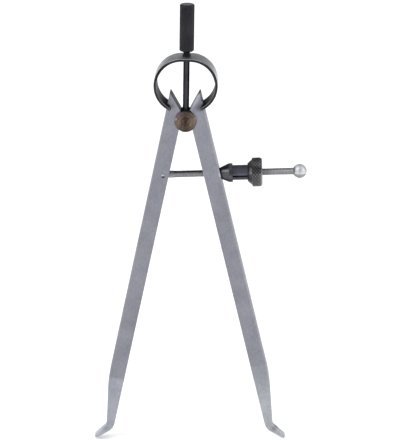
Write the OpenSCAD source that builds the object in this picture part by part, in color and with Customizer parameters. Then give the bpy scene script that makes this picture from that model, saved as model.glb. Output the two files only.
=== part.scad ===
// Inside spring caliper: two flat legs on a fulcrum stud, pushed apart by a bow spring,
// held in by a quick nut on a cross screw, with a stem and a knurled handle on top.
// Lengths are in millimetres. The drawing is made round the fulcrum centre, with the stem
// along +Z and the legs in the XZ plane, and is then moved so that the origin is in the handle.

/* [Legs] */
// Length of a leg from the fulcrum centre to the end of its toe
leg_len = 152.2; // [130:0.1:180]
// Width of the leg bar
leg_w = 6.9; // [6:0.1:8.5]
// Thickness of the leg bar
leg_t = 5.2; // [4.8:0.1:6.4]
// Distance of a leg's inner edge from the fulcrum centre
leg_inset = 1.95; // [1.7:0.05:2.3]
// Angle between the left leg and the stem as drawn
left_angle = 11.2; // [9:0.1:13]
// Angle between the right leg and the stem as drawn
right_angle = 14; // [11:0.1:15]
// How far each leg swings in until the legs are closed
close_swing = 12.5; // [6:0.5:12.5]
// How far each leg swings out until the horns meet the stem
open_swing = 3.4; // [1:0.2:4]
// Height of a horn's tip above the fulcrum, along the leg
horn_len = 10.6; // [9.5:0.1:12]
// Angle of a horn's slanted inner face to its leg
horn_slant = 41; // [38:0.5:44]
// Width of the blunt tip of a horn
horn_tip = 0.5; // [0.2:0.1:1]

/* [Toes] */
// Length of the toe end, over which the outer edge draws in
toe_len = 35.2; // [28:0.1:45]
// Angle at which the outer edge draws in
toe_draw = 8.9; // [6:0.1:10]
// Distance of the toe's round tip from the fulcrum line, out from the leg
toe_reach = 8.5; // [7.5:0.05:10]
// Radius of the toe's round tip
toe_tip_r = 0.9; // [0.7:0.05:1.6]
// Angle of the toe's upper side to the leg
toe_upper = 35.8; // [28:0.2:38]
// Angle of the toe's lower side to the leg
toe_lower = 45.5; // [42:0.5:52]
// Radius of the heel below the toe
heel_r = 6.5; // [4:0.5:8]
// Length of the ground end, where the bar gets thinner
grind_len = 31; // [24:1:40]
// Thickness of the toe at its end
toe_t = 2.6; // [1.8:0.1:3.2]

/* [Bow spring] */
// Height of the crown's middle surface above the fulcrum
crown_z = 26.65; // [25:0.05:30]
// Bend radius of the strip's middle surface
bow_r = 10.85; // [10.4:0.05:12]
// How much wider the left side bends, whose leg stands steeper
bow_spread = 0.2; // [0:0.05:0.4]
// Half length of the flat under the crown nut
crown_flat = 1.7; // [1.4:0.1:2.4]
// Angle that each side of the bow turns through
bow_turn = 150; // [146:1:154]
// Length of the straight end in its notch
bow_end = 1.3; // [1.1:0.1:2.4]
// Width of the strip
strip_w = 10.8; // [8:0.1:12]
// Thickness of the strip
strip_t = 1.15; // [0.8:0.05:1.3]

/* [Fulcrum] */
// Radius of the core that the legs bear on
core_r = 3.3; // [3:0.05:3.8]
// Radius of the front head and of the rear flange
head_r = 4.55; // [4.4:0.05:6]
// Thickness of the front head and of the rear flange
head_t = 1; // [0.7:0.05:1.6]
// Radius of the rivet end that holds the rear flange
rivet_r = 1.8; // [1.2:0.1:2.2]

/* [Stem and handle] */
// Radius of the stem
stem_r = 1.3; // [1.2:0.05:1.5]
// Radius of the stem's thin upper end
stem_top_r = 1.05; // [0.8:0.05:1.15]
// Radius of the stem's lower spigot in the core
spigot_r = 1; // [0.7:0.05:1.15]
// Radius of the collar at the stem's foot
foot_r = 1.85; // [1.6:0.05:2.1]
// Height of the collar at the stem's foot
foot_h = 1.8; // [1.2:0.1:2.2]
// Radius of the nut on the crown
crown_nut_r = 1.7; // [1.5:0.05:2]
// Height of the nut on the crown
crown_nut_h = 0.8; // [0.6:0.1:1.4]
// Bare length of the stem between the crown nut and the handle
stem_bare = 0.5; // [0.3:0.1:1.2]
// Radius of the handle
handle_r = 3.05; // [2.8:0.05:4]
// Length of the handle's grip
handle_len = 19.6; // [15:0.1:26]
// Height of the handle's tapered neck
neck_h = 0.9; // [0.6:0.1:1.6]
// Chamfer at both ends of the grip
handle_chamfer = 0.4; // [0.2:0.05:0.7]

/* [Screw and nut] */
// Distance of the swivel pin from the fulcrum, along the left leg
screw_drop = 25.65; // [23:0.05:32]
// How much further down the right leg the seat of the collar is
seat_drop = 0.75; // [0:0.05:0.9]
// Distance of the seat's middle outside the right leg's edge
seat_out = 1.75; // [1.6:0.05:2]
// Distance of the swivel pin from the left leg's inner edge
pin_inset = 2.3; // [2.2:0.05:2.8]
// Radius of the swivel pin
pin_r = 0.75; // [0.6:0.05:0.9]
// Radius of the screw
screw_r = 1.4; // [1.2:0.05:1.5]
// Length from the swivel pin to the middle of the end ball
screw_len = 57.4; // [54:0.2:64]
// Radius of the end ball
ball_r = 3; // [2.4:0.1:3.4]
// Radius of the round eye on the screw's left end
eye_r = 2.2; // [2:0.05:2.4]
// Length of the swivel block's shank from the pin
shank_len = 4.3; // [3.8:0.1:5]
// Radius of the collar's ball nose, which sits in the right leg's edge
nose_r = 2.9; // [2.7:0.05:3]
// Radius of the collar's large end
collar_r = 4; // [3.7:0.05:4.4]
// Length of the collar from the middle of its ball nose
collar_len = 3.37; // [3:0.01:4.5]
// Length of the collar's straight rim
collar_rim = 1.5; // [0.8:0.1:2]
// Radius of the split nut body
body_r = 3.18; // [3:0.02:3.4]
// Length of the split nut body between the collar and the head
body_len = 6.3; // [5:0.1:9]
// Width of the slit between the half nuts
slit_w = 0.7; // [0.4:0.05:0.9]
// Turn of the slit below the level front
slit_turn = 13.4; // [0:0.2:90]
// Radius of the knurled rim
rim_r = 6.2; // [5.4:0.1:7.5]
// Length of the head
head_len = 6.2; // [5.6:0.1:8]
// Length of the head's cone
cone_len = 1.9; // [1.2:0.1:2.2]
// Radius of the rounding at the head's outer end
rim_round = 1.2; // [0.6:0.1:1.4]
// Way that each half nut opens, outwards and back alike
release = 0.3; // [0.2:0.02:0.34]

/* [Hidden] */
$fn = 64;

// clearances: fixed fits, running fits, legs between the flanges, parts that swing past each other
fix_gap = 0.02;
run_gap = 0.05;
side_gap = 0.05;
swing_gap = 0.15;
// the spring's ends in their notches, and the wider mouth on the upper side
notch_gap = 0.08;
notch_mouth = 0.3;
// the collar's nose in its seat, which also takes up the travel's small error
seat_gap = 0.18;
// over-length of a cut past the face that it opens
over = 1;
arc_steps = 8;

leg_out = leg_inset + leg_w;
core_half = leg_t / 2 + side_gap;
foot_z = sqrt(core_r * core_r - foot_r * foot_r);
foot_top = foot_z + foot_h;
crown_top = crown_z + strip_t / 2;
nut_top = crown_top + crown_nut_h;
neck_z = nut_top + stem_bare;
grip_bottom = neck_z + neck_h;
grip_top = grip_bottom + handle_len;
origin_z = (grip_bottom + grip_top) / 2;
// share of the handle that the stem's thin end fills
stem_reach = handle_len / 2;

// points in the leg plane: a right-hand leg at an angle, by distance along it and out from its line
function on_leg(angle, along, out) =
    [along * sin(angle) + out * cos(angle), -along * cos(angle) + out * sin(angle)];
function flip(p) = [-p[0], p[1]];
function polar(r, a) = r * [cos(a), sin(a)];
function arc(c, r, a0, a1) = [for (i = [0 : arc_steps]) c + polar(r, a0 + (a1 - a0) * i / arc_steps)];

// the screw's line from the swivel pin to the nose's seat, at a swing of the legs
pin_out = leg_inset + pin_inset;
function pin_at(swing) = flip(on_leg(left_angle + swing, screw_drop, pin_out));
function seat_at(swing) = on_leg(right_angle + swing, screw_drop + seat_drop, leg_out + seat_out);
function slope_of(d) = atan2(d[1], d[0]);
function lean_at(swing) = slope_of(seat_at(swing) - pin_at(swing));
pin_pos = pin_at(0);
seat_pos = seat_at(0);
screw_lean = lean_at(0);
seat_s = norm(seat_pos - pin_pos);

// places along the screw, counted from the swivel pin
collar_end = seat_s + collar_len;
head_start = collar_end + body_len;
head_end = head_start + head_len;
shank_step = 0.1;
shank_r = screw_r + shank_step;
block_t = 2 * shank_r;
end_r = screw_r - 0.5;
end_depth = ball_r;
ball_face = screw_len - sqrt(ball_r * ball_r - screw_r * screw_r);
screw_bore = screw_r + run_gap;
collar_bore = screw_r + swing_gap;

// inside of the nut: collar mouth, half nuts, flange groove, plug and spreader groove
mouth_edge = 0.2;
mouth_r = body_r - mouth_edge;
mouth_depth = 1.4;
lip_r = body_r + release + run_gap;
lip_w = 0.35;
rim_step = 0.7;
flange_w = 0.7;
flange_r = body_r + flange_w;
flange_t = 1;
groove_r = flange_r + release + run_gap;
plug_t = 1.4;
plug_start = head_end - plug_t;
flange_start = plug_start - release - run_gap - flange_t;
ring_wall = 0.4;
ring_len = 0.6;
ring_open = 30;
ring_s = collar_end + body_len / 2 - ring_len;
ring_in = screw_r + swing_gap;
ring_groove = ring_in + ring_wall + release;
ring_low = ring_s - release - 2 * run_gap;
ring_high = ring_s + ring_len + release + 2 * run_gap;

// the toe's round tip and heel, in leg coordinates (out, -along)
tip_c = [toe_reach, -(leg_len - toe_tip_r)];
lower_normal = [-cos(toe_lower), -sin(toe_lower)];
lower_tangent = tip_c + toe_tip_r * lower_normal;
heel_out = leg_inset + heel_r;
heel_along = ((heel_out - lower_tangent[0]) * lower_normal[0] + heel_r) / -lower_normal[1];
heel_c = [heel_out, lower_tangent[1] + heel_along];
upper_tangent = tip_c + toe_tip_r * [cos(toe_upper), sin(toe_upper)];
draw_start = [leg_out, -(leg_len - toe_len)];
draw_r = 60;
draw_end = draw_start + draw_r * [cos(toe_draw) - 1, -sin(toe_draw)];
// where the drawn-in edge meets the toe's upper side
meet_k = (upper_tangent[0] - draw_end[0] - (draw_end[1] - upper_tangent[1]) * tan(toe_upper))
    / (-sin(toe_draw) - cos(toe_draw) * tan(toe_upper));
crook = draw_end + meet_k * [-sin(toe_draw), -cos(toe_draw)];
crook_r = 3;
crook_back = crook_r * tan((toe_upper + toe_draw) / 2);
crook_start = crook + crook_back * [sin(toe_draw), cos(toe_draw)];
crook_c = crook_start + crook_r * [cos(toe_draw), -sin(toe_draw)];

// one side of the bow, drawn to the right: its bend radius, bend centre and end of the bend
left_bow = bow_r + bow_spread;
bow_end_a = 90 - bow_turn;
function bow_c(r) = [crown_flat, crown_z - r];
function bow_end_p(r) = bow_c(r) + polar(r, bow_end_a);
bevel_len = 1;
bevel_t = 0.35;

steel = "#9296a0";
toe_steel = "#9a9da5";
spring_steel = "#5f5f62";
black_steel = "#2b2b2f";
nut_steel = "#4b4b52";
screw_steel = "#85858a";
bronze_brown = "#6f5f50";
bright_steel = "#d5d6d8";

module placed() translate([0, 0, -origin_z]) children();

module in_plane(depth) rotate([90, 0, 0]) linear_extrude(height = depth, center = true) children();

// stands a shape drawn along +Z on the screw's line, starting at the swivel pin
module on_screw() translate([pin_pos[0], 0, pin_pos[1]]) rotate([0, 90 - screw_lean, 0]) children();

// outline of a leg that hangs straight down, inner edge to the left
module leg_outline() {
    slant_rise = (leg_w - horn_tip) / tan(horn_slant);
    polygon(concat(
        [[leg_inset, horn_len - slant_rise], [leg_out - horn_tip, horn_len], [leg_out, horn_len]],
        arc(draw_start - [draw_r, 0], draw_r, 0, -toe_draw),
        arc(crook_c, crook_r, 180 - toe_draw, 180 + toe_upper),
        arc(tip_c, toe_tip_r, toe_upper, -180 + toe_lower),
        arc(heel_c, heel_r, -180 + toe_lower, -180)));
}

// room for the stem and its foot when the leg is swung out as far as it goes
module stem_room() {
    room_r = foot_r + swing_gap;
    translate([-room_r, 0]) square([2 * room_r, foot_top + swing_gap]);
    stem_room_r = stem_r + swing_gap;
    translate([-stem_room_r, 0]) square([2 * stem_room_r, crown_z]);
}

// slanted notch for the bow's bevelled end, wider on its upper side towards the mouth
module bow_notch(r) {
    half = strip_t / 2 + notch_gap;
    reach = leg_w;
    translate(bow_end_p(r)) rotate(bow_end_a - 90)
        polygon([[bow_end + notch_gap, half], [-reach, half], [-reach, -half - notch_mouth],
            [0, -half - notch_mouth], [bow_end + notch_gap, half - bevel_t - 2 * notch_gap]]);
}

// wedges that thin the bar towards the toe, front and back
module toe_grind() {
    end_cut = leg_len + over;
    slope = (leg_t - toe_t) / 2 / grind_len;
    start_cut = leg_len - grind_len;
    outside = leg_t / 2 + over;
    for (face = [-1, 1]) rotate([90, 0, 90]) linear_extrude(height = 4 * leg_w, center = true)
        polygon([[face * leg_t / 2, -start_cut], [face * outside, -start_cut],
            [face * outside, -end_cut], [face * (toe_t / 2 - slope * over), -end_cut]]);
}

// leg on the right-hand side of the stem, at an angle, without what belongs to one leg only
module plain_leg(angle, bend) difference() {
    rotate([0, -angle, 0]) difference() {
        in_plane(leg_t) leg_outline();
        toe_grind();
    }
    rotate([90, 0, 0]) cylinder(r = core_r + run_gap, h = leg_t + 2 * over, center = true);
    in_plane(leg_t + 2 * over) rotate(-open_swing) stem_room();
    in_plane(leg_t + 2 * over) bow_notch(bend);
}

// slot for the swivel block, open at the inner edge, on a leg that hangs straight down
module block_slot() {
    room_r = eye_r + swing_gap;
    translate([pin_out, -screw_drop]) {
        circle(r = room_r);
        translate([-pin_out, -room_r]) square([pin_out, 2 * room_r]);
    }
}

module left_leg() placed() color(steel) mirror([1, 0, 0]) difference() {
    plain_leg(left_angle, left_bow);
    rotate([0, -left_angle, 0]) {
        in_plane(block_t + 2 * run_gap) block_slot();
        translate([pin_out, 0, -screw_drop]) rotate([90, 0, 0])
            cylinder(r = pin_r + fix_gap, h = leg_t + 2 * over, center = true);
    }
}

// slot that the screw swings in while the right leg turns on the collar's nose
module screw_slot() {
    half = screw_r + 2 * seat_gap;
    reach = 2 * leg_w;
    low = lean_at(open_swing) - open_swing;
    high = lean_at(-close_swing) + close_swing;
    above = seat_pos + polar(half, low + 90);
    below = seat_pos - polar(half, high + 90);
    polygon([above + polar(half, low), above - polar(reach, low),
        below - polar(reach, high), below + polar(half, high)]);
}

module right_leg() placed() color(toe_steel) difference() {
    plain_leg(right_angle, bow_r);
    in_plane(2 * (screw_r + swing_gap)) screw_slot();
    translate([seat_pos[0], 0, seat_pos[1]]) sphere(r = nose_r + seat_gap);
}

// one side of the bow: the bent strip and its bevelled end
module bow_side(r) {
    far = 2 * r;
    half = strip_t / 2 - fix_gap;
    translate(bow_c(r)) intersection() {
        difference() {
            circle(r = r + strip_t / 2);
            circle(r = r - strip_t / 2);
        }
        polygon(concat([[0, 0]], [for (k = [0 : 3]) polar(far, 90 - bow_turn * k / 3)]));
    }
    translate(bow_end_p(r)) rotate(bow_end_a - 90)
        polygon([[-half, -half], [bow_end - bevel_len, -half], [bow_end, half - bevel_t],
            [bow_end, half], [-half, half]]);
}

module bow_spring() placed() color(spring_steel) difference() {
    in_plane(strip_w) {
        translate([-crown_flat, crown_z - strip_t / 2]) square([2 * crown_flat, strip_t]);
        bow_side(bow_r);
        mirror([1, 0]) bow_side(left_bow);
    }
    translate([0, 0, crown_z]) cylinder(r = stem_top_r + run_gap, h = strip_t + 2 * over, center = true);
}

// head at the front, core between the legs and rivet end through the rear flange
module fulcrum_stud() placed() color(bronze_brown) difference() {
    edge = head_t / 4;
    outside = core_half + head_t;
    rotate([90, 0, 0]) rotate_extrude()
        polygon([[0, -outside], [rivet_r, -outside], [rivet_r, -core_half], [core_r, -core_half],
            [core_r, core_half], [head_r, core_half], [head_r, outside - edge],
            [head_r - edge, outside], [0, outside]]);
    cylinder(r = spigot_r + fix_gap, h = core_r + over);
    translate([0, 0, foot_z]) cylinder(r = foot_r + fix_gap, h = core_r);
}

module rear_flange() placed() color(bronze_brown)
    translate([0, core_half, 0]) rotate([-90, 0, 0]) difference() {
        cylinder(r = head_r, h = head_t);
        translate([0, 0, -over]) cylinder(r = rivet_r + fix_gap, h = head_t + 2 * over);
    }

// rod with a spigot in the core, a shoulder under the crown and a thin end in the handle
module stem() placed() color(black_steel) rotate_extrude()
    polygon([[0, core_r / 4], [spigot_r, core_r / 4], [spigot_r, foot_top], [stem_r, foot_top],
        [stem_r, crown_z - strip_t / 2], [stem_top_r, crown_z - strip_t / 2],
        [stem_top_r, grip_bottom + stem_reach], [0, grip_bottom + stem_reach]]);

module foot_collar() placed() color(black_steel) rotate_extrude()
    polygon([[spigot_r + fix_gap, foot_z], [foot_r, foot_z], [foot_r, foot_top - foot_h / 4],
        [stem_r, foot_top], [spigot_r + fix_gap, foot_top]]);

module crown_nut() placed() color(black_steel) translate([0, 0, crown_top]) difference() {
    cylinder(r = crown_nut_r, h = crown_nut_h);
    translate([0, 0, -over]) cylinder(r = stem_top_r + fix_gap, h = crown_nut_h + 2 * over);
}

module handle() placed() color(black_steel) rotate_extrude() {
    hole_r = stem_top_r + fix_gap;
    hole_top = grip_bottom + stem_reach + fix_gap;
    polygon([[hole_r, neck_z], [stem_r, neck_z], [crown_nut_r, grip_bottom],
        [handle_r - handle_chamfer, grip_bottom], [handle_r, grip_bottom + handle_chamfer],
        [handle_r, grip_top - handle_chamfer], [handle_r - handle_chamfer, grip_top],
        [0, grip_top], [0, hole_top], [hole_r, hole_top]]);
}

module on_pin() translate([pin_pos[0], 0, pin_pos[1]]) rotate([90, 0, 0]) children();

module swivel_pin() placed() color(steel) on_pin()
    cylinder(r = pin_r, h = leg_t + 2 * side_gap, center = true);

module swivel_block() placed() color(steel) difference() {
    union() {
        on_pin() cylinder(r = eye_r, h = block_t, center = true);
        on_screw() cylinder(r = shank_r, h = shank_len);
    }
    on_pin() cylinder(r = pin_r + run_gap, h = block_t + 2 * over, center = true);
    on_screw() translate([0, 0, eye_r]) cylinder(r = end_r + fix_gap, h = shank_len);
}

// threaded rod with a thin end in the block and another in the ball
module adjusting_screw() placed() color(screw_steel) on_screw() rotate_extrude() {
    polygon([[0, eye_r + fix_gap], [end_r, eye_r + fix_gap], [end_r, shank_len], [screw_r, shank_len],
        [screw_r, ball_face], [end_r, ball_face], [end_r, ball_face + end_depth],
        [0, ball_face + end_depth]]);
}

module end_ball() placed() color(bright_steel) on_screw() difference() {
    translate([0, 0, screw_len]) sphere(r = ball_r);
    translate([0, 0, ball_face - ball_r]) cylinder(r = screw_r + fix_gap, h = ball_r);
    translate([0, 0, ball_face - over]) cylinder(r = end_r + fix_gap, h = end_depth + over + fix_gap);
}

// ball nose towards the leg, taper, rim, and a flared mouth that the half nuts wedge into
module bearing_collar() placed() color(nut_steel) on_screw() translate([0, 0, seat_s]) rotate_extrude() {
    // the taper touches the ball and ends at the rim
    taper_end = [collar_r, collar_len - collar_rim];
    taper_turn = slope_of(taper_end) - acos(nose_r / norm(taper_end));
    mouth_floor = collar_len - mouth_depth;
    polygon(concat(
        arc([0, 0], nose_r, -acos(collar_bore / nose_r), taper_turn),
        [taper_end, [collar_r, collar_len], [mouth_r, collar_len], [mouth_r, collar_len - run_gap],
            [mouth_r - run_gap, collar_len - run_gap], [mouth_r - mouth_depth, mouth_floor],
            [collar_bore, mouth_floor]]));
}

// both half nuts in one: wedge nose, body, flange inside the head, bore and spreader groove
module whole_nut() rotate_extrude() {
    nose_back = mouth_depth - 2 * run_gap;
    nose_tip = mouth_r - mouth_depth;
    nose_base = nose_tip + nose_back - run_gap;
    polygon([[screw_bore, collar_end - nose_back], [nose_tip, collar_end - nose_back],
        [nose_base, collar_end - run_gap], [nose_base, collar_end + run_gap],
        [body_r, collar_end + run_gap], [body_r, flange_start], [flange_r, flange_start],
        [flange_r, flange_start + flange_t], [screw_bore, flange_start + flange_t],
        [screw_bore, ring_high], [ring_groove, ring_high],
        [ring_groove, ring_low], [screw_bore, ring_low]]);
}

module half_nut(side) on_screw() intersection() {
    whole_nut();
    rotate([0, 0, slit_turn]) translate([side * (slit_w / 2 + rim_r), 0, head_start])
        cube([2 * rim_r, 4 * rim_r, 4 * (body_len + head_len)], center = true);
}

module upper_half_nut() placed() color(nut_steel) half_nut(-1);

module lower_half_nut() placed() color(nut_steel) half_nut(1);

// knurled head: cone, rim with a rounded end, lip round the half nuts and groove for their flanges
module nut_head() placed() color(nut_steel) on_screw() rotate_extrude() {
    cone_end = head_start + cone_len;
    groove_start = flange_start - 2 * run_gap;
    polygon(concat(
        [[lip_r, head_start], [lip_r + lip_w, head_start], [rim_r - rim_step, cone_end], [rim_r, cone_end]],
        arc([rim_r - rim_round, head_end - rim_round], rim_round, 0, 90),
        [[groove_r, head_end], [groove_r, groove_start], [lip_r, groove_start]]));
}

// ring that covers the half nuts' flanges, level with the head's end
module nut_plug() placed() color(black_steel) on_screw() translate([0, 0, plug_start]) difference() {
    cylinder(r = groove_r - fix_gap, h = plug_t);
    translate([0, 0, -over]) cylinder(r = collar_bore, h = plug_t + 2 * over);
}

// open spring ring in the half nuts' inner groove
module spreader_ring() placed() color(screw_steel) on_screw() rotate([0, 0, slit_turn])
    translate([0, 0, ring_s]) rotate_extrude(angle = 360 - ring_open)
        translate([ring_in, 0]) square([ring_wall, ring_len]);

left_leg();
right_leg();
bow_spring();
fulcrum_stud();
rear_flange();
stem();
foot_collar();
crown_nut();
handle();
swivel_pin();
swivel_block();
adjusting_screw();
end_ball();
bearing_collar();
upper_half_nut();
lower_half_nut();
nut_head();
nut_plug();
spreader_ring();
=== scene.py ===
import math

import bmesh
import bpy
import numpy as np
from mathutils import Matrix, Vector


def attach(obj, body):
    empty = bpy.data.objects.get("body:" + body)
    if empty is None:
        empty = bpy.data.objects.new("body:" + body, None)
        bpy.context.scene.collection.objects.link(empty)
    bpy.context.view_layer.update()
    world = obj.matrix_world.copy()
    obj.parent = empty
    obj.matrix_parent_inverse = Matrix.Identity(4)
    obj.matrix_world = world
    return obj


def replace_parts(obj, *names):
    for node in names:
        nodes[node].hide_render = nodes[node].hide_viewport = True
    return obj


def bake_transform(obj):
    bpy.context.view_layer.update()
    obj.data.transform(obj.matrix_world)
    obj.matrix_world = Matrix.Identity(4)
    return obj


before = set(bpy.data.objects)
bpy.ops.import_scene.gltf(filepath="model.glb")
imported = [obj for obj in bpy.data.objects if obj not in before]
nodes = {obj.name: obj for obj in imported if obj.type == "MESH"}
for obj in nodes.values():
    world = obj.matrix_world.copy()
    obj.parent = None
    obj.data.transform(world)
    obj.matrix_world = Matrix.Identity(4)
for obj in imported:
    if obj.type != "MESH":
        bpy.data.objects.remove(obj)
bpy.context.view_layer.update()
mm = 0.001
print("frame loaded")

# shared places in the row frame, in millimetres and degrees
fulcrumZ = -39.225
fulcrum = (0, 0, fulcrumZ)
pinPoint = np.array([-9.15117, 0, -63.561])
screwDir = np.array([0.998765, 0, 0.049684])
screwUp = np.array([-0.049684, 0, 0.998765])
screwLean = 2.8478  # how far the screw rises to the right
seatPoint = np.array([16.67187, 0, -62.27644])
leftLean, rightLean = 11.2, -14  # how far the legs lean from the stem
up = np.array([0.0, 0, 1])
right = np.array([1.0, 0, 0])
front = np.array([0.0, -1, 0])


def gridMesh(name, pts, wrapRows=False, capFirst=False, capLast=False, sharp=35):
    # rows of rings become quads, with a flat face on an end that is capped
    rows, cols = pts.shape[:2]
    index = np.arange(rows * cols).reshape(rows, cols)
    index = np.hstack([index, index[:, :1]])
    if wrapRows:
        index = np.vstack([index, index[:1]])
    quads = np.stack([index[:-1, :-1], index[:-1, 1:], index[1:, 1:], index[1:, :-1]], -1)
    faces = quads.reshape(-1, 4).tolist()
    if capFirst:
        faces.append(list(range(cols))[::-1])
    if capLast:
        faces.append(list(range((rows - 1) * cols, rows * cols)))
    return meshObject(name, pts.reshape(-1, 3), faces, sharp)


def meshObject(name, points, faces, sharp=35):
    mesh = bpy.data.meshes.new(name)
    mesh.from_pydata((np.asarray(points) * mm).tolist(), [], faces)
    work = bmesh.new()
    work.from_mesh(mesh)
    bmesh.ops.recalc_face_normals(work, faces=work.faces)
    work.to_mesh(mesh)
    work.free()
    mesh.shade_smooth()
    mesh.set_sharp_from_angle(angle=math.radians(sharp))
    obj = bpy.data.objects.new(name, mesh)
    bpy.context.scene.collection.objects.link(obj)
    return obj


def keepGroove(obj, values):
    # how deep each vertex lies in a groove, 0 to 1, for the finish to darken as painted shade in the
    # grooves
    kept = obj.data.attributes.new("groove", "FLOAT", "POINT")
    kept.data.foreach_set("value", np.asarray(values, np.float32).ravel())


def rounded(points, radius, steps=4, most=0.45):
    # every inner corner becomes a quadratic curve, which takes at most a share of the sides beside it
    points = [np.array(p, float) for p in points]
    made = [points[0]]
    for a, b, c in zip(points, points[1:], points[2:]):
        toA, toC = a - b, c - b
        reach = min(radius, most * np.linalg.norm(toA), most * np.linalg.norm(toC))
        p = b + toA / np.linalg.norm(toA) * reach
        q = b + toC / np.linalg.norm(toC) * reach
        for w in np.linspace(0, 1, steps + 1):
            made.append((1 - w) ** 2 * p + 2 * w * (1 - w) * b + w * w * q)
    return np.array(made + [points[-1]])


def spin(along, radius, sides, base, axis, side):
    # point = base + along * axis + radius * (cos(angle) * side + sin(angle) * across)
    across = np.cross(axis, side)
    angle = np.linspace(0, 2 * np.pi, sides, endpoint=False)
    out = np.cos(angle)[:, None] * side + np.sin(angle)[:, None] * across
    radius = np.asarray(radius, float)
    if radius.ndim == 1:
        radius = np.repeat(radius[:, None], sides, 1)
    return base + np.asarray(along)[:, None, None] * axis + radius[:, :, None] * out


def ridge(phase):
    # 1 at a ridge and 0 in a groove, straight flanks between them
    return 1 - np.abs(2 * (phase - np.floor(phase)) - 1)


def diamonds(along, sides, starts, pitch):
    # lower one of two crossing sets of ridges, by turn and by length
    turn = np.arange(sides) / sides
    one = ridge(starts * turn[None] + along[:, None] / pitch)
    two = ridge(starts * turn[None] - along[:, None] / pitch)
    return np.minimum(one, two)


# handle: neck, chamfers and a diamond knurl on the grip, radius = outer - depth * (1 - ridges)
handleSet = {"low": -9.8, "high": 9.8, "r": 3.05, "chamfer": 0.4, "neckLow": -10.7, "neckR": 1.3,
             "neckTop": 1.7, "bore": 1.07, "pole": 0.3, "lowRound": 0.12, "topRound": 0.15,
             "endDepth": 0.03, "depth": 0.13, "fade": 0.3, "starts": 30, "pitch": 1.15, "sides": 240,
             "rows": 150}


def makeHandle():
    h = handleSet
    flat = h["r"] - h["chamfer"]
    bottom = rounded([(h["neckLow"], h["bore"]), (h["neckLow"], h["neckR"]), (h["low"], h["neckTop"]),
                      (h["low"], flat), (h["low"] + h["chamfer"], h["r"])], h["lowRound"])
    top = rounded([(h["high"] - h["chamfer"], h["r"]), (h["high"], flat), (h["high"], h["pole"])],
                  h["topRound"])
    grip = np.linspace(h["low"] + h["chamfer"], h["high"] - h["chamfer"], h["rows"] + 2)[1:-1]
    along = np.concatenate([bottom[:, 0], grip, top[:, 0]])
    radius = np.concatenate([bottom[:, 1], np.full(len(grip), h["r"]), top[:, 1]])
    edge = np.minimum(grip - grip[0], grip[-1] - grip) / h["fade"]
    part = np.concatenate([np.zeros(len(bottom)), np.clip(edge, 0, 1), np.zeros(len(top))])
    cut = part[:, None] * (1 - diamonds(along, h["sides"], h["starts"], h["pitch"]))
    pts = spin(along, radius[:, None] - h["depth"] * cut, h["sides"], np.zeros(3), up, right)
    obj = gridMesh("handleKnurled", pts, capFirst=True, capLast=True, sharp=50)
    keepGroove(obj, cut)
    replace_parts(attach(obj, "fulcrum"), "handle")
    return obj


# stud: turned from the rivet end to the front,
# front face = head - ringDepth * sin(pi * rings * share of the way from ringFrom to ringTo)^2
studSet = {"half": 2.65, "head": 3.65, "core": 3.3, "rim": 4.55, "rivet": 1.8, "rivetPole": 0.2,
           "headPole": 0.15, "edge": 0.3, "round": 0.1, "rings": 3, "ringFrom": 0.8, "ringTo": 3.9,
           "ringDepth": 0.06, "sides": 96, "rows": 70}


def makeStud():
    s = studSet
    body = rounded([(-s["head"], s["rivetPole"]), (-s["head"], s["rivet"]), (-s["half"], s["rivet"]),
                    (-s["half"], s["core"]), (s["half"], s["core"]), (s["half"], s["rim"]),
                    (s["head"] - s["edge"], s["rim"]), (s["head"], s["rim"] - s["edge"])], s["round"])
    r = np.linspace(s["rim"] - s["edge"], s["headPole"], s["rows"])[1:]
    wave = np.sin(np.pi * s["rings"] * (r - s["ringFrom"]) / (s["ringTo"] - s["ringFrom"])) ** 2
    wave = wave * ((r > s["ringFrom"]) & (r < s["ringTo"]))
    along = np.concatenate([body[:, 0], s["head"] - s["ringDepth"] * wave])
    radius = np.concatenate([body[:, 1], r])
    pts = spin(along, radius, s["sides"], np.array(fulcrum), front, right)
    obj = gridMesh("studTurned", pts, capFirst=True, capLast=True)
    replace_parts(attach(obj, "fulcrum"), "fulcrum_stud")
    return obj


# bow: half of a bent strip, its section swept along flat, arc and straight end,
# arc point = middle + (bend radius + height in the section) * (cos, sin) of the turn
bowSet = {"crown": 26.65, "r": 10.85, "spread": 0.2, "flat": 1.7, "turn": 150, "end": 1.3, "width": 10.8,
          "thick": 1.15, "edge": 0.15, "tip": 0.35, "bevel": 1.0, "hole": 1.12, "faceRows": 34,
          "edgeRows": 5, "flatRows": 8, "arcRows": 90, "endRows": 8, "litAbove": 0.32, "litBelow": 0.5,
          "near": 1e-6}
bowFinishes = ("springSteel", "springDark", "springCornerHighlight", "springInside")


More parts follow.
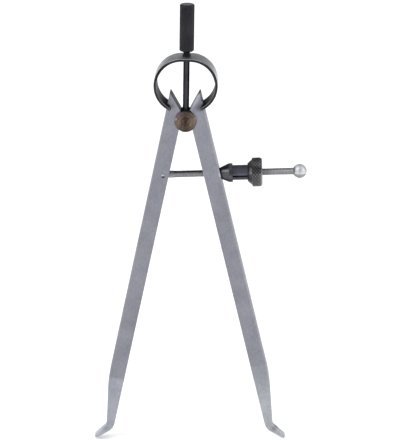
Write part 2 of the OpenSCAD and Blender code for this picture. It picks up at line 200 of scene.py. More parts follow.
def makeBowHalf(side):
    b = bowSet
    half, thick, edge, near = b["width"] / 2, b["thick"] / 2, b["edge"], b["near"]
    bend = b["r"] + (b["spread"] if side < 0 else 0)
    # loop round the section as (y, height): front edge, outside, back edge, inside
    corner = np.linspace(0, np.pi / 2, b["edgeRows"])
    inner = np.linspace(-half + edge, half - edge, b["faceRows"])[1:-1]
    y = np.concatenate([-half + edge - edge * np.cos(corner), inner, half - edge + edge * np.sin(corner)])
    height = np.concatenate([thick - edge + edge * np.sin(corner), np.full(len(inner), thick),
                             thick - edge + edge * np.cos(corner)])
    y, height = np.concatenate([y, y[::-1]]), np.concatenate([height, -height[::-1]])
    # x and z of the rows: from the stem's hole along the flat, round the arc, along the thinning end
    hole = np.sqrt(np.clip(b["hole"] ** 2 - y ** 2, 0, None))
    middle = b["crown"] - bend
    level = np.linspace(0, 1, b["flatRows"], endpoint=False)[:, None]
    turn = np.radians(90 - b["turn"] * np.linspace(0, 1, b["arcRows"]))[:, None]
    way = b["end"] * np.linspace(0, 1, b["endRows"] + 1)[1:, None]
    last = turn[-1]
    thin = np.clip((way - (b["end"] - b["bevel"])) / b["bevel"], 0, 1)
    out = bend + np.where(height < 0, height + thin * (b["thick"] - b["tip"]), height)
    x = np.vstack([hole + level * (b["flat"] - hole), b["flat"] + (bend + height) * np.cos(turn),
                   b["flat"] + out * np.cos(last) + way * np.sin(last)])
    z = np.vstack([b["crown"] + height + 0 * level, middle + (bend + height) * np.sin(turn),
                   middle + out * np.sin(last) - way * np.cos(last)])
    pts = np.stack([side * x, y + 0 * x, z + fulcrumZ], -1)
    count = pts.shape[1]
    index = np.arange(pts.shape[0] * count).reshape(pts.shape[:2])
    ring = np.hstack([index, index[:, :1]])
    faces = [np.stack([ring[:-1, :-1], ring[:-1, 1:], ring[1:, 1:], ring[1:, :-1]], -1).reshape(-1, 4)]
    for row in (index[0], index[-1]):
        one, two = row[: count // 2], row[::-1][: count // 2]
        faces.append(np.stack([one[:-1], one[1:], two[1:], two[:-1]], -1))
    faces = np.vstack(faces)
    obj = meshObject("bowRight" if side > 0 else "bowLeft", pts.reshape(-1, 3), faces.tolist())
    # bowFinishes: 0 outside, 1 edges, 2 front corner with a painted highlight, 3 inside;
    # the corner's painted highlight lies at the crown's outside and at the ends' inside
    nextY, nextHeight = np.roll(y, -1), np.roll(height, -1)
    kind = np.where(np.minimum(height, nextHeight) > thick - near, 0, 1)
    kind = np.where(np.maximum(height, nextHeight) < near - thick, 3, kind)
    bent = (np.abs(nextHeight - height) > near) & (np.abs(nextY - y) > near) & (y < 0)
    part = ((np.arange(len(pts) - 1) - b["flatRows"]) / b["arcRows"])[:, None]
    lit = ((part < b["litAbove"]) & bent & (height > 0)) | ((part > b["litBelow"]) & bent & (height < 0))
    finish = np.ones(len(faces), int)
    finish[: lit.size] = np.where(lit, 2, kind).ravel()
    obj.data.polygons.foreach_set("material_index", finish)
    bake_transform(obj)
    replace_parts(obj, "bow_spring")
    return obj


# pin: plain rod with a punched hollow in its front end, depth there = depth * (1 - (radius / hollow)^2)
pinSet = {"half": 2.65, "r": 0.75, "hollow": 0.66, "depth": 0.38, "pole": 0.04, "rearEdge": 0.08,
          "frontEdge": 0.05, "frontIn": 0.03, "sides": 40, "rows": 9}


def makePin():
    p = pinSet
    r = np.linspace(p["hollow"], p["pole"], p["rows"])
    along = np.concatenate([[-p["half"], -p["half"] + p["rearEdge"], p["half"] - p["frontEdge"], p["half"]],
                            p["half"] - p["depth"] * (1 - (r / p["hollow"]) ** 2)])
    radius = np.concatenate([[p["r"] - p["rearEdge"], p["r"], p["r"], p["r"] - p["frontIn"]], r])
    pts = spin(along, radius, p["sides"], pinPoint, front, right)
    obj = gridMesh("pinPunched", pts, capFirst=True, capLast=True, sharp=40)
    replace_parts(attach(obj, "left_arm"), "swivel_pin")
    return obj


# screw: rounded thread, radius = outer - depth * (0.5 - 0.5 * cos(2 pi * (length / pitch - turn)))^power
screwSet = {"start": 4.3, "end": 54.7467, "r": 1.44, "depth": 0.12, "pitch": 0.62, "power": 1.5,
            "endCut": 0.2, "thin": 0.9, "low": 2.22, "high": 57.74, "sides": 30, "perPitch": 8}


def makeScrew():
    s = screwSet
    rows = int((s["end"] - s["start"]) / s["pitch"] * s["perPitch"])
    along = np.linspace(s["start"], s["end"], rows)
    turn = np.arange(s["sides"]) / s["sides"]
    wave = 0.5 + 0.5 * np.cos(2 * np.pi * (along[:, None] / s["pitch"] - turn[None]))
    fade = np.clip(np.minimum(along - s["start"], s["end"] - along) / s["pitch"], 0, 1)[:, None]
    cut = fade * (1 - wave) ** s["power"] + (1 - fade) * s["endCut"]
    thin = np.full((1, s["sides"]), s["thin"])
    radius = np.vstack([thin, thin, s["r"] - s["depth"] * cut, thin, thin])
    none = np.zeros((2, s["sides"]))
    along = np.concatenate([[s["low"], s["start"]], along, [s["end"], s["high"]]])
    pts = spin(along, radius, s["sides"], pinPoint, screwDir, screwUp)
    obj = gridMesh("screwThread", pts, capFirst=True, capLast=True, sharp=60)
    keepGroove(obj, np.vstack([none, cut, none]))
    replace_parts(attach(obj, "screw"), "adjusting_screw")
    return obj


# ball: sphere from a neck at the screw to a small pole, radius^2 = r^2 - (length - middle)^2
ballSet = {"middle": 57.4, "r": 3.0, "neck": 1.42, "hole": 0.92, "depth": 57.765, "lastAngle": 178.5,
           "sides": 72, "rows": 44}


def makeBall():
    b = ballSet
    angle = np.linspace(math.asin(b["neck"] / b["r"]), math.radians(b["lastAngle"]), b["rows"])
    along = b["middle"] - b["r"] * np.cos(angle)
    radius = b["r"] * np.sin(angle)
    along = np.concatenate([[b["depth"], along[0]], along])
    radius = np.concatenate([[b["hole"], b["hole"]], radius])
    pts = spin(along, radius, b["sides"], pinPoint, screwDir, screwUp)
    obj = gridMesh("ballBright", pts, capFirst=True, capLast=True)
    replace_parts(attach(obj, "screw"), "end_ball")
    return obj


# collar: ball nose, tangent taper, rim and flared mouth, a closed profile turned round the screw,
# nose (length, radius) = nose * (sin, cos) of the angle from square to the screw
collarSet = {"seat": 25.85497, "nose": 2.9, "bore": 1.55, "r": 4, "length": 3.37, "rim": 1.5, "mouth": 2.98,
             "depth": 1.4, "round": 0.14, "noseRows": 18, "sides": 96}


def makeCollar():
    c = collarSet
    end = (c["length"] - c["rim"], c["r"])
    leave = math.atan2(*end) - math.acos(c["nose"] / math.hypot(*end))  # where the taper leaves the nose
    a = np.linspace(-math.acos(c["bore"] / c["nose"]), leave, c["noseRows"])
    nose = c["nose"] * np.stack([np.sin(a), np.cos(a)], -1)
    shape = [end, (c["length"], c["r"]), (c["length"], c["mouth"]),
             (c["length"] - c["depth"], c["mouth"] - c["depth"]), (c["length"] - c["depth"], c["bore"])]
    profile = np.vstack([nose[:-1], rounded([nose[-1]] + shape, c["round"])])
    pts = spin(profile[:, 0] + c["seat"], profile[:, 1], c["sides"], pinPoint, screwDir, screwUp)
    obj = gridMesh("collarTapered", pts, wrapRows=True)
    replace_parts(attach(obj, "collar"), "bearing_collar")
    return obj


# nut head: lip, cone, step, knurled rim and rounded end, radius = profile - depth * (1 - ridges)
headSet = {"start": 35.52497, "length": 6.2, "lip": 3.53, "lipW": 0.35, "cone": 1.9, "step": 0.7, "r": 6.2,
           "bevel": 0.15, "round": 1.2, "roundRows": 10, "groove": 4.23, "grooveStart": 3.35,
           "frontSoft": 0.12, "backSoft": 0.08, "knurlFrom": 0.6, "knurlFade": 0.5, "depth": 0.32,
           "starts": 24, "pitch": 1.3, "sides": 360, "rows": 56}


def makeHead():
    h = headSet
    low, high = h["cone"], h["length"] - h["round"]
    before = rounded([(h["grooveStart"], h["lip"]), (0, h["lip"]), (0, h["lip"] + h["lipW"]),
                      (low, h["r"] - h["step"]), (low, h["r"] - h["bevel"]),
                      (low + h["bevel"], h["r"])], h["frontSoft"])
    rim = np.linspace(low + h["bevel"], high, h["rows"] + 1)[1:]
    turn = np.linspace(0, math.pi / 2, h["roundRows"])[1:]
    after = np.stack([high + h["round"] * np.sin(turn),
                      h["r"] - h["round"] + h["round"] * np.cos(turn)], -1)
    recess = [after[-1], (h["length"], h["groove"]), (h["grooveStart"], h["groove"])]
    after = np.vstack([after, rounded(recess, h["backSoft"])[1:]])
    along = np.concatenate([before[:, 0], rim, after[:, 0]])
    radius = np.concatenate([before[:, 1], np.full(len(rim), h["r"]), after[:, 1]])
    rimPart = np.clip((radius - h["r"] + h["knurlFrom"]) / h["knurlFade"], 0, 1)
    rimPart = rimPart * (along >= low) * (along <= h["length"])
    cut = rimPart[:, None] * (1 - diamonds(along, h["sides"], h["starts"], h["pitch"]))
    radius = radius[:, None] - h["depth"] * cut
    pts = spin(along + h["start"], radius, h["sides"], pinPoint, screwDir, screwUp)
    obj = gridMesh("nutHeadKnurled", pts, wrapRows=True, sharp=50)
    keepGroove(obj, cut)
    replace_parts(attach(obj, "nut"), "nut_head")
    return obj


def placeValue(tree, place, part):
    # one number for each point of a surface: groove depth, noise, facing, or a place in millimetres,
    # where radius and fan are seen from the front
    link = tree.links.new
    if part["by"] == "groove":
        depth = tree.nodes.new("ShaderNodeAttribute")
        depth.attribute_name = "groove"
        return depth.outputs["Fac"]
    if part["by"] == "speck":
        speck = tree.nodes.new("ShaderNodeTexNoise")
        speck.inputs["Scale"].default_value = part["scale"]
        link(place.outputs["Object"], speck.inputs["Vector"])
        return speck.outputs["Fac"]
    split = tree.nodes.new("ShaderNodeSeparateXYZ")
    if part["by"] == "facingUp":
        link(place.outputs["Normal"], split.inputs["Vector"])
        return split.outputs["Z"]
    turn = tree.nodes.new("ShaderNodeMapping")
    turn.vector_type = "TEXTURE"
    turn.inputs["Location"].default_value = [v * mm for v in part.get("origin", (0, 0, 0))]
    turn.inputs["Rotation"].default_value = (0, math.radians(part.get("lean", 0)), 0)
    turn.inputs["Scale"].default_value = (mm, mm, mm)
    link(place.outputs["Object"], turn.inputs["Vector"])
    link(turn.outputs["Vector"], split.inputs["Vector"])
    if part["by"] in ("X", "Y", "Z"):
        return split.outputs[part["by"]]
    flat = tree.nodes.new("ShaderNodeCombineXYZ")
    link(split.outputs["X"], flat.inputs["X"])
    link(split.outputs["Z"], flat.inputs["Z"])
    size = tree.nodes.new("ShaderNodeVectorMath")
    size.operation = "LENGTH"
    link(flat.outputs["Vector"], size.inputs[0])
    if part["by"] == "radius":
        return size.outputs["Value"]
    share = tree.nodes.new("ShaderNodeMath")  # fan: sideways share of the radius, for a turned face
    share.operation = "DIVIDE"
    link(split.outputs["X"], share.inputs[0])
    link(size.outputs["Value"], share.inputs[1])
    fan = tree.nodes.new("ShaderNodeMath")
    fan.operation = "ABSOLUTE"
    link(share.outputs["Value"], fan.inputs[0])
    return fan.outputs["Value"]


def layerMask(tree, place, parts):
    # product of smooth steps, each from 0 to 1 between two values, or back where they fall
    mask = None
    for part in parts:
        ramp = tree.nodes.new("ShaderNodeMapRange")
        ramp.interpolation_type = "SMOOTHSTEP"
        low, high = part["span"]
        falls = low > high
        ramp.inputs["From Min"].default_value = min(low, high)
        ramp.inputs["From Max"].default_value = max(low, high)
        ramp.inputs["To Min"].default_value = 1 if falls else 0
        ramp.inputs["To Max"].default_value = 0 if falls else 1
        tree.links.new(placeValue(tree, place, part), ramp.inputs["Value"])
        if mask is None:
            mask = ramp.outputs["Result"]
        else:
            both = tree.nodes.new("ShaderNodeMath")
            both.operation = "MULTIPLY"
            tree.links.new(mask, both.inputs[0])
            tree.links.new(ramp.outputs["Result"], both.inputs[1])
            mask = both.outputs["Value"]
    return mask


# metal: shared settings of the noise, the colour ramp and the height
metalSet = {"streakDetail": 3, "blotchDetail": 4, "blotchShare": 0.5, "darkAt": 0.3, "lightAt": 0.7,
            "bump": 0.15, "bumpStep": 0.00003, "edgeTint": (1, 1, 1)}
# sockets of a Mix node, which has one set for numbers and one for colours
mixIn = {"share": 0, "numberA": 2, "numberB": 3, "colourA": 6, "colourB": 7}
mixOut = {"number": 0, "colour": 2}


def metal(name, look):
    # brushed metal: streaks and blotches of noise shift colour and roughness, streaks the height
    m = {**metalSet, **look}
    mat = bpy.data.materials.new(name)
    mat.use_nodes = True
    tree = mat.node_tree
    link = tree.links.new
    shader = tree.nodes["Principled BSDF"]
    place = tree.nodes.new("ShaderNodeTexCoord")
    turn = tree.nodes.new("ShaderNodeMapping")
    turn.vector_type = "TEXTURE"
    turn.inputs["Rotation"].default_value = (0, math.radians(m.get("lean", 0)), 0)
    stretch = tree.nodes.new("ShaderNodeMapping")
    stretch.inputs["Scale"].default_value = m["brush"]
    streaks = tree.nodes.new("ShaderNodeTexNoise")
    streaks.inputs["Scale"].default_value = 1
    streaks.inputs["Detail"].default_value = m["streakDetail"]
    blotches = tree.nodes.new("ShaderNodeTexNoise")
    blotches.inputs["Scale"].default_value = m["blotch"]
    blotches.inputs["Detail"].default_value = m["blotchDetail"]
    mix = tree.nodes.new("ShaderNodeMix")
    mix.inputs[mixIn["share"]].default_value = m["blotchShare"]
    ramp = tree.nodes.new("ShaderNodeValToRGB")
    ramp.color_ramp.elements[0].position = m["darkAt"]
    ramp.color_ramp.elements[0].color = (*m["dark"], 1)
    ramp.color_ramp.elements[1].position = m["lightAt"]
    ramp.color_ramp.elements[1].color = (*m["light"], 1)
    rough = tree.nodes.new("ShaderNodeMapRange")
    rough.inputs["To Min"].default_value = m["rough"][0]
    rough.inputs["To Max"].default_value = m["rough"][1]
    bump = tree.nodes.new("ShaderNodeBump")
    bump.inputs["Strength"].default_value = m["bump"]
    bump.inputs["Distance"].default_value = m["bumpStep"]
    link(place.outputs["Object"], turn.inputs["Vector"])
    link(turn.outputs["Vector"], stretch.inputs["Vector"])
    link(stretch.outputs["Vector"], streaks.inputs["Vector"])
    link(place.outputs["Object"], blotches.inputs["Vector"])
    link(streaks.outputs["Fac"], mix.inputs[mixIn["numberA"]])
    link(blotches.outputs["Fac"], mix.inputs[mixIn["numberB"]])
    link(mix.outputs[mixOut["number"]], ramp.inputs["Fac"])
    colour = ramp.outputs["Color"]
    # each layer multiplies the colour inside its mask; most layers are painted light and shade, a few are
    # tones of the thing itself
    for part in m.get("layers", []):
        tint = tree.nodes.new("ShaderNodeMix")
        tint.data_type = "RGBA"
        tint.blend_type = "MULTIPLY"
        link(layerMask(tree, place, part["where"]), tint.inputs[mixIn["share"]])
        link(colour, tint.inputs[mixIn["colourA"]])
        tint.inputs[mixIn["colourB"]].default_value = (*part["times"], 1)
        colour = tint.outputs[mixOut["colour"]]
    link(colour, shader.inputs["Base Color"])
    link(mix.outputs[mixOut["number"]], rough.inputs["Value"])
    link(rough.outputs["Result"], shader.inputs["Roughness"])
    link(streaks.outputs["Fac"], bump.inputs["Height"])
    link(bump.outputs["Normal"], shader.inputs["Normal"])
    shader.inputs["Metallic"].default_value = 1
    shader.inputs["Specular Tint"].default_value = (*m["edgeTint"], 1)
    return mat


def layer(times, *where):
    # a tint where all its steps are 1: one factor, or one each for red, green and blue
    return {"where": where, "times": times if isinstance(times, tuple) else (times, times, times)}


def step(by, *span, **place):
    # soft step from 0 at the first value to 1 at the second one
    return {"by": by, "span": span, **place}


def spot(x, z, *span):
    # round spot, seen from the front
    return step("radius", *span, origin=(x, 0, z))


def onStud(by, *span):
    return step(by, *span, origin=fulcrum)


def onLeg(axis, lean, *span):
    # across (X) or along (Z) a leg, from the fulcrum
    return step(axis, *span, origin=fulcrum, lean=lean)


def onSeat(axis, *span):
    # the same on the right leg, from the collar's seat
    return step(axis, *span, origin=tuple(seatPoint), lean=rightLean)


def onScrew(axis, *span):
    # along (X) or above (Z) the screw's axis, from the pin
    return step(axis, *span, origin=tuple(pinPoint), lean=-screwLean)


def onBall(axis, *span):
    return step(axis, *span, origin=tuple(pinPoint + ballSet["middle"] * screwDir))


# groove: painted shade deep in a groove; crest: painted highlight on a knurl's crests
groove = step("groove", 0.55, 0.9)
crest = (step("groove", 0.35, 0.1), step("groove", 0, 0.01))
frontFace = step("Y", -2.3, -2.5)
# frames on the horns' slanted edges and on the toes' upper edges, X square to the edge
leftSlant = {"origin": (-1.284, 0, -35.668), "lean": -29.8}
rightSlant = {"origin": (1.108, 0, -35.61), "lean": 27}
leftToe = {"origin": (-38.34, 0, -185.33), "lean": 47}
rightToe = {"origin": (45.43, 0, -183.28), "lean": -49.8}

# legs: where the ground toe starts and how it lightens, then the painted light and shade at the edges,
# notches, seat and toes of each leg
leftLegSet = {
    "lean": leftLean, "ground": (-120.9, -122.1), "groundTint": (1.28, 1.3, 1.28),
    "toeEnd": (-121.5, -143.5), "toeEndTint": 1.02,
    # painted shade along the horn's slanted edge, at the notch and in the crook; painted highlights along
    # the outer edge and the toe's upper edge; lighter up the horn and at the toe's tip
    "paintedLightShade": [
        layer(1.09, onLeg("Z", leftLean, -10, 0)),
        layer((0.25, 0.245, 0.24), frontFace, step("X", -0.65, -0.2, **leftSlant)),
        layer((0.72, 0.71, 0.7), step("Y", -2.5, -2.3), step("X", -0.15, -0.05, **leftSlant)),
        layer(1.14, frontFace, onLeg("X", leftLean, -8.2, -8.6), onLeg("Z", leftLean, 7, 5)),
        layer(0.78, spot(-5.6, -32.9, 1.7, 0.3)),
        layer((1.34, 1.33, 1.31), onLeg("Z", leftLean, -144.5, -146), step("X", 0.9, 0.25, **leftToe)),
        layer((1.17, 1.16, 1.13), step("Z", -182.2, -184.2)),
        layer(0.78, spot(-33.7, -181.8, 1.9, 0.3)),
    ],
}
rightLegSet = {
    "lean": rightLean, "ground": (-114.4, -115.6), "groundTint": (1.15, 1.16, 1.13),
    "toeEnd": (-115, -137), "toeEndTint": (1.3, 1.31, 1.28),
    # painted highlights along the horn's slanted edge, the outer edge, by the collar's seat and along the
    # toe's upper edge; painted shade towards the notch, at the outer edge by the bow's end, in front of the
    # notch, below the toe's edge and in the crook; lighter on the horn and at the toe's tip
    "paintedLightShade": [
        layer(1.08, onLeg("Z", rightLean, -45, -5), onLeg("Z", rightLean, 5, 1)),
        layer(1.24, frontFace, step("X", 1.1, 0.4, **rightSlant)),
        layer(1.35, frontFace, onLeg("Z", rightLean, 4.5, 7), step("X", 1.9, 0.8, **rightSlant)),
        layer(0.78, frontFace, onLeg("Z", rightLean, 3.2, 5), step("X", 1.8, 3.8, **rightSlant)),
        layer(1.25, frontFace, onLeg("X", rightLean, 8.2, 8.6), onLeg("Z", rightLean, 6, 4.5)),
        layer(0.5, frontFace, onLeg("X", rightLean, 8, 8.6), onLeg("Z", rightLean, 6, 7.2)),
        layer(0.6, spot(5.5, -33.4, 2.2, 0.3)),
        layer(1.4, frontFace, onSeat("X", -2.8, -2.4), onSeat("Z", -0.7, -0.2), onSeat("Z", 1.6, 1.1)),
        layer((1.22, 1.21, 1.19), onLeg("Z", rightLean, -144.8, -146), step("X", -0.7, -0.2, **rightToe)),
        layer((0.96, 0.955, 0.94), onLeg("Z", rightLean, -142, -145)),
        layer((1.1, 1.09, 1.08), step("Z", -181.5, -183)),
        layer((0.6, 0.6, 0.61), spot(40.8, -180.3, 2, 0.2)),
        layer((0.6, 0.6, 0.61), step("Y", -0.7, -0.2), spot(41.4, -179.4, 2.2, 1.4)),
    ],
}


def legFinish(leg):
    # satin bar: ground toe, painted highlight on its top, small pits, painted shade on the horn's slanted
    # face, a darker tip, then the leg's own painted light and shade
    lean = leg["lean"]
    return {
        "brush": (1500, 1500, 700), "blotch": 120, "lean": lean, "rough": (0.4, 0.52),
        "dark": (0.196, 0.198, 0.228), "light": (0.296, 0.3, 0.334),
        "layers": [
            layer(leg["groundTint"], onLeg("Z", lean, *leg["ground"])),
            layer(leg["toeEndTint"], onLeg("Z", lean, *leg["toeEnd"])),
            # painted highlight: the ground toe's upward faces lighter
            layer(1.9, step("facingUp", 0.35, 0.5), onLeg("Z", lean, -130, -135)),
            layer(0.72, step("speck", 0.7, 0.76, scale=900)),
            # painted shade: the horn's upward slanted face darker
            layer((0.13, 0.125, 0.12), step("facingUp", 0.4, 0.5), onLeg("Z", lean, -8, -6)),
            layer((0.4, 0.39, 0.38), onLeg("Z", lean, 9.9, 10.5)),
            *leg["paintedLightShade"],
        ],
    }


# the stud's own dark centre and rings, then painted light: a highlight fan to left and right with painted
# shade above and below, a lighter, bluer rim, painted shade along the bottom edge and two painted glints on
# the rim
studRingsAndPaintedLight = [
    layer((0.7, 0.52, 0.55), onStud("radius", 1, 0.7)),
    layer(0.66, onStud("radius", 1.55, 1.35)),
    layer((0.6, 0.5, 0.5), onStud("radius", 1.3, 1.6), onStud("radius", 2.15, 1.85)),
    layer((1.35, 1.38, 1.38), onStud("fan", 0.55, 0.95)),
    layer(0.72, onStud("fan", 0.55, 0.1)),
    layer((1.1, 1.2, 1.4), onStud("radius", 3.9, 4.4)),
    layer((0.45, 0.42, 0.42), onStud("Z", -3.7, -4.3)),
    layer((2.5, 2.55, 2.6), spot(-4.2, -38.05, 0.85, 0.35)),
    layer(1.35, spot(4, -38, 0.9, 0.3)),
]
# painted highlight above the pin's axis and painted shadow below it, seen in its punched end
pinPaintedLight = [
    layer((3.3, 3.3, 3.1), step("Z", -0.05, 0.2, origin=tuple(pinPoint))),
    layer(0.06, step("Z", -0.1, -0.3, origin=tuple(pinPoint))),
]
# painted light: the bow's outside lighter on its flanks
outsidePaintedLight = [layer(1.5, step("X", 6, 11.5)), layer(1.55, step("X", -6, -11.5))]
# the corner's painted highlight turns to painted shade towards the bow's ends
cornerHighlightFade = [
    layer(0.42, step("Z", -19, -21)),
    layer(0.08, step("Z", -20.5, -20), step("X", 5.5, 9.6)),
    layer(0.08, step("Z", -20.5, -20), step("X", -5.5, -9.6)),
]
# painted shade: the stem darker at both sides, so its middle stays lighter
stemPaintedShade = [layer(0.3, step("X", 0.5, 1.05)), layer(0.4, step("X", -0.6, -1.1))]
# painted shade on the screw: in the grooves, along the top between the legs, underneath, and on the lower
# half beyond the nut; lighter beyond the collar
screwPaintedShade = [
    layer(0.45, groove),
    layer(0.34, onScrew("Z", 0.55, 0.8), onScrew("X", 25.5, 24.5)),
    layer(1.38, onScrew("X", 30, 31)),
    layer(0.7, onScrew("Z", -0.4, -0.9)),
    layer(0.75, onScrew("X", 40, 41), onScrew("Z", 0.5, -0.1)),
]
collarTaper = onScrew("X", 27.9, 27.6)
collarRim = onScrew("X", 27.6, 27.9)
# painted light and shade on the collar: painted shadow by the leg, painted shade on the taper's top, the
# underside and the rim's middle, painted highlights on the taper and the rim's top
collarLightAndShade = [
    layer(0.35, onSeat("X", -0.6, -1.2)),
    layer((0.55, 0.55, 0.57), collarTaper, onScrew("Z", 2, 2.6)),
    layer((1.5, 1.5, 1.48), onScrew("X", 25, 26.8), collarTaper,
          onScrew("Z", 0.1, 0.8), onScrew("Z", 2.3, 1.7)),
    layer(0.5, onScrew("Z", -1.2, -2.2)),
    layer(0.75, collarRim, onScrew("Z", -0.6, 0.2), onScrew("Z", 2.4, 1.7)),
    layer((1.45, 1.5, 1.55), collarRim, onScrew("Z", 2.2, 2.8)),
]
headCone = onScrew("X", 37.5, 37.3)
# painted light and shade on the nut head: painted shade in the knurl's grooves, on the rim's middle, at the
# lip and at the cone's top and bottom; painted highlights on the knurl's crests and a crescent on the cone;
# lighter on the rounded end
headLightAndShade = [
    layer(0.15, groove),
    layer((3.6, 3.5, 3.5), *crest),
    layer(0.45, onScrew("X", 37.2, 37.6), onScrew("Z", 0.6, 1.6), onScrew("Z", 4.4, 3.4)),
    layer(1.3, onScrew("X", 40, 40.5)),
    layer(0.5, onScrew("X", 36.3, 36.1)),
    layer(0.55, headCone, onScrew("Z", 0.8, 0.1)),
    layer(0.6, headCone, onScrew("Z", 3, 3.6)),
    layer((1.95, 1.9, 1.95), onScrew("X", 36.3, 36.6), headCone,
          onScrew("Z", 0.6, 1.2), onScrew("Z", 3.4, 2.8)),
]
# painted reflection and shade on the ball: dimmer below its top, a darker bottom crescent, darker by the
# screw's neck and a darker stroke down its middle
ballPaintedReflection = [
    layer(0.65, onBall("Z", 2.4, 1.3)),
    layer(0.52, onBall("Z", -0.3, -0.9)),
    layer(0.5, onBall("X", -1.8, -2.3)),
    layer(0.82, onBall("X", -0.6, -0.1), onBall("X", 0.5, 0)),
]
looks = {
    "leftLegSteel": legFinish(leftLegSet),
    "rightLegSteel": legFinish(rightLegSet),
    "pinSteel": {"brush": (900, 900, 900), "blotch": 300, "rough": (0.3, 0.4), "layers": pinPaintedLight,
                 "dark": (0.24, 0.24, 0.27), "light": (0.3, 0.3, 0.33)},
    "springSteel": {"brush": (300, 4000, 300), "blotch": 90, "rough": (0.42, 0.55), "layers": outsidePaintedLight,
                    "dark": (0.25, 0.25, 0.254), "light": (0.64, 0.64, 0.644)},
    "springDark": {"brush": (900, 900, 900), "blotch": 120, "rough": (0.35, 0.5),
                   "layers": [layer((2.6, 2.6, 2.65), step("Z", -32.7, -33.6))],
                   "dark": (0.018, 0.018, 0.0195), "light": (0.048, 0.048, 0.051)},
    "springInside": {"brush": (300, 4000, 300), "blotch": 120, "rough": (0.4, 0.55),
                     # painted shade: the bow's inside darker towards its ends by the horns
                     "layers": [layer(0.35, step("Z", -29, -32))], "edgeTint": (0.4, 0.4, 0.4),
                     "dark": (0.11, 0.11, 0.113), "light": (0.25, 0.25, 0.256)},
    "springCornerHighlight": {"brush": (300, 4000, 300), "blotch": 90, "rough": (0.35, 0.45), "layers": cornerHighlightFade,
                     "dark": (0.55, 0.55, 0.56), "light": (0.75, 0.75, 0.76)},
    "blackSteel": {"brush": (900, 900, 900), "blotch": 120, "rough": (0.35, 0.5),
                   "dark": (0.016, 0.016, 0.019), "light": (0.04, 0.04, 0.045)},
    "handleBlack": {"brush": (2500, 2500, 300), "blotch": 150, "rough": (0.35, 0.5),
                    # painted shade in the knurl's grooves
                    "layers": [layer(0.5, groove)],
                    "dark": (0.023, 0.0228, 0.0268), "light": (0.057, 0.0565, 0.063)},
    "stemBlack": {"brush": (3000, 3000, 300), "blotch": 120, "rough": (0.35, 0.5),
                  "layers": stemPaintedShade, "edgeTint": (0.3, 0.3, 0.3),
                  "dark": (0.028, 0.028, 0.0325), "light": (0.07, 0.07, 0.08)},
    "handleEnd": {"brush": (900, 900, 900), "blotch": 200, "rough": (0.4, 0.55),
                  "dark": (0.2, 0.2, 0.215), "light": (0.32, 0.32, 0.345)},
    "nutSteel": {"brush": (3000, 500, 500), "blotch": 150, "rough": (0.3, 0.42),
                 # painted shade: the nut's body darker below the screw's axis
                 "layers": [layer(0.6, onScrew("Z", 0, -0.7))],
                 "dark": (0.06, 0.061, 0.078), "light": (0.125, 0.127, 0.155)},
    "collarSteel": {"brush": (3000, 500, 500), "blotch": 150, "rough": (0.3, 0.42), "layers": collarLightAndShade,
                    "dark": (0.06, 0.06, 0.0645), "light": (0.125, 0.125, 0.132)},
    "headSteel": {"brush": (3000, 500, 500), "blotch": 150, "rough": (0.3, 0.42), "layers": headLightAndShade,
                  "dark": (0.092, 0.089, 0.092), "light": (0.166, 0.16, 0.166)},
    "screwSteel": {"brush": (900, 900, 900), "blotch": 150, "rough": (0.3, 0.45), "layers": screwPaintedShade,
                   "dark": (0.19, 0.19, 0.194), "light": (0.32, 0.32, 0.325)},
    "fulcrumBrown": {"brush": (1200, 1200, 1200), "blotch": 400, "rough": (0.35, 0.5), "layers": studRingsAndPaintedLight,
                     "dark": (0.057, 0.0395, 0.031), "light": (0.158, 0.118, 0.093)},
    "brightSteel": {"brush": (200, 200, 200), "blotch": 100, "rough": (0.44, 0.52), "bump": 0.02,
                    "layers": ballPaintedReflection, "dark": (0.92, 0.92, 0.935), "light": (0.97, 0.97, 0.985)},
}
mats = {name: metal(name, look) for name, look in looks.items()}
print("materials made")

shown = {
    "left_leg": "leftLegSteel", "right_leg": "rightLegSteel", "swivel_pin": "pinSteel",
    "swivel_block": "leftLegSteel", "rear_flange": "fulcrumBrown", "stem": "stemBlack",
    "foot_collar": "blackSteel", "crown_nut": "blackSteel", "upper_half_nut": "nutSteel",
    "lower_half_nut": "nutSteel", "nut_plug": "blackSteel", "spreader_ring": "screwSteel",
    "bow_spring": "springSteel", "fulcrum_stud": "fulcrumBrown", "handle": "handleBlack",
    "adjusting_screw": "screwSteel", "end_ball": "brightSteel", "bearing_collar": "collarSteel",
    "nut_head": "headSteel",
}


def paint(obj, *names):
    # faces keep the index of their finish, as far as there are finishes
    kept = np.zeros(len(obj.data.polygons), int)
    obj.data.polygons.foreach_get("material_index", kept)
    obj.data.materials.clear()
    for name in names:
        obj.data.materials.append(mats[name])
    obj.data.polygons.foreach_set("material_index", np.minimum(kept, len(names) - 1))
    return obj


def paintEnd(obj, level, name):
    # faces whose middle lies above a level get another finish
    middles = np.zeros(len(obj.data.polygons) * 3)
    obj.data.polygons.foreach_get("center", middles)
    obj.data.materials.append(mats[name])
    index = np.where(middles.reshape(-1, 3)[:, 2] > level * mm, len(obj.data.materials) - 1, 0)
    obj.data.polygons.foreach_set("material_index", index)


for node, look in shown.items():
    paint(nodes[node], look)
paintEnd(paint(makeHandle(), "handleBlack"), handleSet["high"] - handleSet["endDepth"], "handleEnd")
paint(makeStud(), "fulcrumBrown")
paint(makeBowHalf(-1), *bowFinishes)
paint(makeBowHalf(1), *bowFinishes)
paint(makePin(), "pinSteel")
paint(makeScrew(), "screwSteel")
paint(makeBall(), "brightSteel")
paint(makeCollar(), "collarSteel")
paint(makeHead(), "headSteel")
print("pieces made")

# stage: pale floor under the toes, a world that is lighter in front than behind
stageSet = {"floorZ": -187.9, "floorHalf": 4000, "floorTones": (0.9, 0.91), "floorGrain": 40,
            "floorRough": 0.9, "worldFrom": -0.6, "worldTo": 0.3, "worldFront": 0.7, "worldBack": 0.4,
            "worldColour": (0.95, 0.97, 1, 1), "seenColour": (1, 1, 1, 1)}


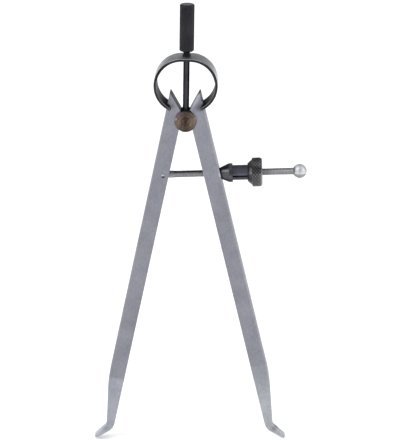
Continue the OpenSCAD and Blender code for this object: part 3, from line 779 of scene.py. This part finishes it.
def makeFloor():
    half, level = stageSet["floorHalf"], stageSet["floorZ"]
    corners = [(-half, -half, level), (half, -half, level), (half, half, level), (-half, half, level)]
    obj = meshObject("floor", corners, [[0, 1, 2, 3]])
    mat = bpy.data.materials.new("floorPaper")
    mat.use_nodes = True
    tree = mat.node_tree
    shader = tree.nodes["Principled BSDF"]
    noise = tree.nodes.new("ShaderNodeTexNoise")
    noise.inputs["Scale"].default_value = stageSet["floorGrain"]
    ramp = tree.nodes.new("ShaderNodeValToRGB")
    for stop, tone in zip(ramp.color_ramp.elements, stageSet["floorTones"]):
        stop.color = (tone, tone, tone, 1)
    tree.links.new(noise.outputs["Fac"], ramp.inputs["Fac"])
    tree.links.new(ramp.outputs["Color"], shader.inputs["Base Color"])
    shader.inputs["Roughness"].default_value = stageSet["floorRough"]
    shader.inputs["Specular IOR Level"].default_value = 0
    obj.data.materials.append(mat)


def makeWorld():
    # brightness by direction: lighter in front, darker behind, and plain white to the camera
    world = bpy.data.worlds.new("studio")
    bpy.context.scene.world = world
    world.use_nodes = True
    tree = world.node_tree
    place = tree.nodes.new("ShaderNodeTexCoord")
    parts = tree.nodes.new("ShaderNodeSeparateXYZ")
    shade = tree.nodes.new("ShaderNodeMapRange")
    shade.interpolation_type = "SMOOTHSTEP"
    shade.inputs["From Min"].default_value = stageSet["worldFrom"]
    shade.inputs["From Max"].default_value = stageSet["worldTo"]
    shade.inputs["To Min"].default_value = stageSet["worldFront"]
    shade.inputs["To Max"].default_value = stageSet["worldBack"]
    back = tree.nodes["Background"]
    back.inputs["Color"].default_value = stageSet["worldColour"]
    plain = tree.nodes.new("ShaderNodeBackground")
    plain.inputs["Color"].default_value = stageSet["seenColour"]
    seen = tree.nodes.new("ShaderNodeLightPath")
    choose = tree.nodes.new("ShaderNodeMixShader")
    tree.links.new(seen.outputs["Is Camera Ray"], choose.inputs[0])
    tree.links.new(back.outputs[0], choose.inputs[1])
    tree.links.new(plain.outputs[0], choose.inputs[2])
    tree.links.new(choose.outputs[0], tree.nodes["World Output"].inputs["Surface"])
    tree.links.new(place.outputs["Generated"], parts.inputs["Vector"])
    tree.links.new(parts.outputs["Y"], shade.inputs["Value"])
    tree.links.new(shade.outputs["Result"], back.inputs["Strength"])


# lights: a broad soft sun for the floor, unseen in reflections, and two soft boxes aimed at the object
sunSet = {"from": (-0.3, -0.45, 0.9), "aim": (0, 0, 0), "angle": 100, "power": 2.6}
lightSet = {
    "key": {"at": (-0.7, -0.5, 0.6), "aim": (0, 0, -0.08), "size": 0.5, "power": 3},
    "fill": {"at": (0.9, -0.3, 0.3), "aim": (0, 0, -0.08), "size": 0.5, "power": 2},
}


def addLight(name, lamp, at, aim):
    obj = bpy.data.objects.new(name, lamp)
    obj.location = at
    obj.rotation_mode = "QUATERNION"
    obj.rotation_quaternion = (Vector(at) - Vector(aim)).to_track_quat("Z", "Y")
    bpy.context.scene.collection.objects.link(obj)
    return obj


def makeLights():
    sun = bpy.data.lights.new("sun", "SUN")
    sun.energy = sunSet["power"]
    sun.angle = math.radians(sunSet["angle"])
    addLight("sun", sun, sunSet["from"], sunSet["aim"]).visible_glossy = False
    for name, box in lightSet.items():
        lamp = bpy.data.lights.new(name, "AREA")
        lamp.shape = "SQUARE"
        lamp.size = box["size"]
        lamp.energy = box["power"]
        addLight(name, lamp, box["at"], box["aim"])


# camera: photo's angle, with the small lean of the stem as roll
cameraSet = {"elevation": 19.84, "azimuth": 1.16, "roll": 0.91, "target": (6.59, 0, -83.66),
             "distance": 770.3, "focal": 1812.3, "longSide": 440, "clip": (0.05, 20)}


def makeCamera():
    c = cameraSet
    e, a, roll = (math.radians(c[k]) for k in ("elevation", "azimuth", "roll"))
    away = Vector((math.sin(a) * math.cos(e), -math.cos(a) * math.cos(e), math.sin(e)))
    level = Vector((math.cos(a), math.sin(a), 0))
    rise = away.cross(level)
    sideways = math.cos(roll) * level + math.sin(roll) * rise
    upwards = -math.sin(roll) * level + math.cos(roll) * rise
    at = (Vector(c["target"]) + away * c["distance"]) * mm
    cam = bpy.data.cameras.new("photoCamera")
    cam.lens = cam.sensor_width * c["focal"] / c["longSide"]
    cam.clip_start, cam.clip_end = c["clip"]
    obj = bpy.data.objects.new("photoCamera", cam)
    bpy.context.scene.collection.objects.link(obj)
    rows = [(sideways[k], upwards[k], away[k], at[k]) for k in range(3)]
    obj.matrix_world = Matrix(rows + [(0, 0, 0, 1)])
    bpy.context.scene.camera = obj


makeFloor()
makeWorld()
makeLights()
makeCamera()
bpy.context.scene.view_settings.view_transform = "Standard"
print("stage made")
